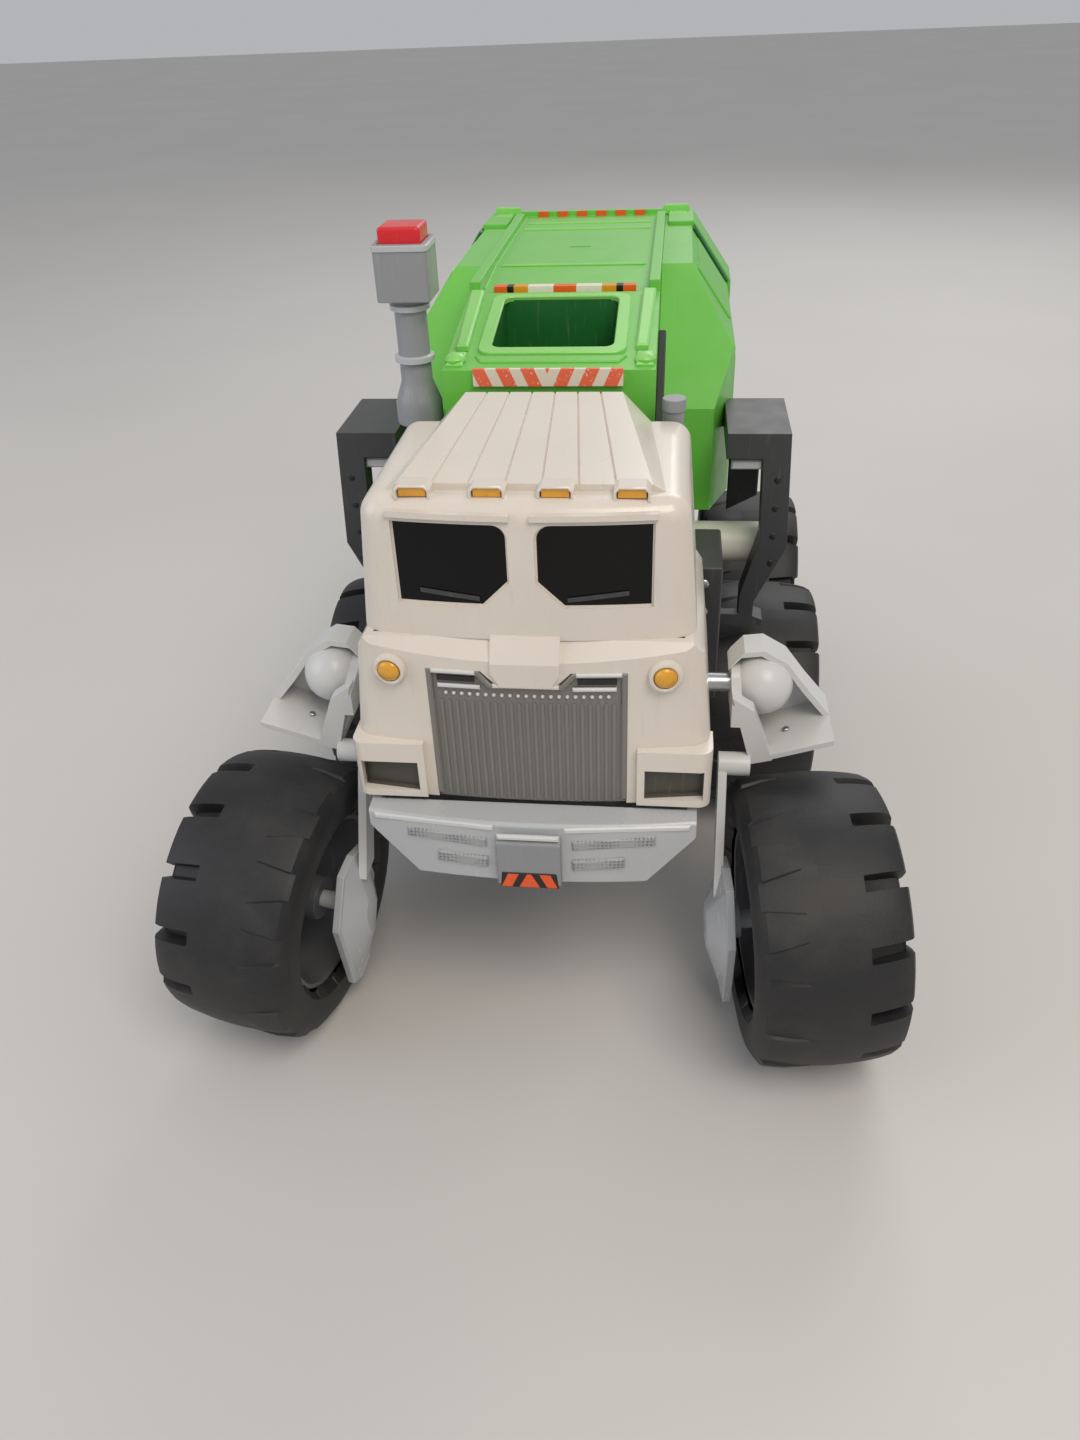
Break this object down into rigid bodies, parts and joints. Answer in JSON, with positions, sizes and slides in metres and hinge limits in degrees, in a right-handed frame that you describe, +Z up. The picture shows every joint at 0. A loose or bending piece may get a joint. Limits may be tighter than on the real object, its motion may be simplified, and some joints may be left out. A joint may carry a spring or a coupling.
{
  "type": "toy refuse truck",
  "caption": "Toy refuse truck that rears up on its wheel truck, with arm-mounted front wheels, nodding cab, dropping jaw, hopper mouth, tailgate and push button on its stack.",
  "frame": {"origin": "on the floor, under the middle of the toy", "axes": "+Z up, the truck faces -Y, +X is its own left side"},
  "size_m": [0.3087, 0.4321, 0.322],
  "materials": {
    "frame_grey": "moulded, dark grey",
    "body_green": "moulded, lime green",
    "liner_green": "moulded, dark green",
    "cab_cream": "moulded, cream",
    "light_grey": "moulded, light grey",
    "bumper_grey": "moulded, mid grey",
    "grille_grey": "moulded, warm grey",
    "tyre": "matt black rubber",
    "rim_grey": "moulded, silver grey",
    "window_black": "polished black",
    "amber": "translucent amber",
    "orange": "printed orange",
    "red_button": "moulded, red",
    "black_plastic": "moulded, black",
    "white_plastic": "natural nylon",
    "steel": "drawn steel",
    "cell_wrap": "foil-wrapped dry cells",
    "board": "circuit board laminate"
  },
  "bodies": {
    "chassis": {"chassis_tub": "frame_grey", "battery_door": "frame_grey", "door_screws": "steel", "batteries": "cell_wrap", "drive_gearbox": "white_plastic", "drive_motor": "steel", "circuit_board": "board", "speaker": "black_plastic", "neck_frame": "frame_grey", "shoulder_shaft": "steel", "chassis_cheeks": "frame_grey", "hip_brackets": "frame_grey", "hip_bushes": "white_plastic", "hull_side_left": "body_green", "hull_side_right": "body_green", "hull_roof": "body_green", "tail_markers": "orange", "hopper_housing": "body_green", "hopper_liner": "liner_green", "bin_floor": "liner_green", "hazard_lip": "orange", "light_bar": "amber", "side_struts": "black_plastic", "stack_pipe": "bumper_grey", "stack_box": "bumper_grey", "stub_pipe": "bumper_grey"},
    "button": {"stack_button": "red_button"},
    "tailgate": {"tailgate": "body_green"},
    "cab": {"cab_shell": "cab_cream", "window_panes": "window_black", "wipers": "black_plastic", "grille": "grille_grey", "headlamp_lenses": "amber", "corner_vents": "cab_cream", "roof_lamps": "amber", "roof_deflector": "cab_cream", "jaw_pins": "steel"},
    "jaw": {"bumper": "bumper_grey", "bumper_block": "grille_grey"},
    "truck": {"truck_cross_shaft": "steel", "truck_beams": "frame_grey", "rear_axles": "steel"},
    "arm_left": {"fender_left": "light_grey", "arm_link_left": "light_grey", "hub_plate_left": "light_grey"},
    "front_wheel_left": {"front_tyre_left": "tyre", "front_rim_left": "rim_grey"},
    "mid_wheel_left": {"mid_tyre_left": "tyre", "mid_rim_left": "rim_grey"},
    "rear_wheel_left": {"rear_tyre_left": "tyre", "rear_rim_left": "rim_grey"},
    "arm_right": {"fender_right": "light_grey", "arm_link_right": "light_grey", "hub_plate_right": "light_grey"},
    "front_wheel_right": {"front_tyre_right": "tyre", "front_rim_right": "rim_grey"},
    "mid_wheel_right": {"mid_tyre_right": "tyre", "mid_rim_right": "rim_grey"},
    "rear_wheel_right": {"rear_tyre_right": "tyre", "rear_rim_right": "rim_grey"}
  },
  "joints": [
    {"name": "button_press", "type": "slide", "parent": "chassis", "child": "button", "axis": [0, 0, -1], "range_m": [0, 0.003], "stiffness_N_per_m": 350, "springref_m": -0.002},
    {"name": "tailgate_swing", "type": "hinge", "parent": "chassis", "child": "tailgate", "pos_m": [0, 0.2086, 0.27], "axis": [1, 0, 0], "range_deg": [0, 75]},
    {"name": "cab_nod", "type": "hinge", "parent": "chassis", "child": "cab", "pos_m": [0, -0.11, 0.153], "axis": [1, 0, 0], "range_deg": [0, 25]},
    {"name": "jaw_open", "type": "hinge", "parent": "cab", "child": "jaw", "pos_m": [0, -0.092, 0.136], "axis": [1, 0, 0], "range_deg": [0, 20]},
    {"name": "stand_up", "type": "hinge", "parent": "chassis", "child": "truck", "pos_m": [0, 0.089, 0.08], "axis": [1, 0, 0], "range_deg": [0, 45]},
    {"name": "arm_left_swing", "type": "hinge", "parent": "chassis", "child": "arm_left", "pos_m": [0.092, -0.11, 0.153], "axis": [-1, 0, 0], "range_deg": [-15, 80]},
    {"name": "front_wheel_left_spin", "type": "hinge", "parent": "arm_left", "child": "front_wheel_left", "pos_m": [0.1155, -0.153, 0.0623], "axis": [0.9926, 0.1131, 0.0436], "continuous": true},
    {"name": "mid_wheel_left_spin", "type": "hinge", "parent": "truck", "child": "mid_wheel_left", "pos_m": [0.101, 0.025, 0.062], "axis": [1, 0, 0], "continuous": true},
    {"name": "rear_wheel_left_spin", "type": "hinge", "parent": "truck", "child": "rear_wheel_left", "pos_m": [0.101, 0.153, 0.062], "axis": [1, 0, 0], "continuous": true},
    {"name": "arm_right_swing", "type": "hinge", "parent": "chassis", "child": "arm_right", "pos_m": [-0.092, -0.11, 0.153], "axis": [-1, 0, 0], "range_deg": [-15, 80]},
    {"name": "front_wheel_right_spin", "type": "hinge", "parent": "arm_right", "child": "front_wheel_right", "pos_m": [-0.118, -0.153, 0.0623], "axis": [-0.9846, 0.156, 0.0785], "continuous": true},
    {"name": "mid_wheel_right_spin", "type": "hinge", "parent": "truck", "child": "mid_wheel_right", "pos_m": [-0.101, 0.025, 0.062], "axis": [1, 0, 0], "continuous": true},
    {"name": "rear_wheel_right_spin", "type": "hinge", "parent": "truck", "child": "rear_wheel_right", "pos_m": [-0.101, 0.153, 0.062], "axis": [1, 0, 0], "continuous": true}
  ],
  "couplings": [
    {"joint": "rear_wheel_right_spin", "follows": "rear_wheel_left_spin", "ratio": 1},
    {"joint": "mid_wheel_left_spin", "follows": "rear_wheel_left_spin", "ratio": 1},
    {"joint": "mid_wheel_right_spin", "follows": "rear_wheel_left_spin", "ratio": 1}
  ]
}
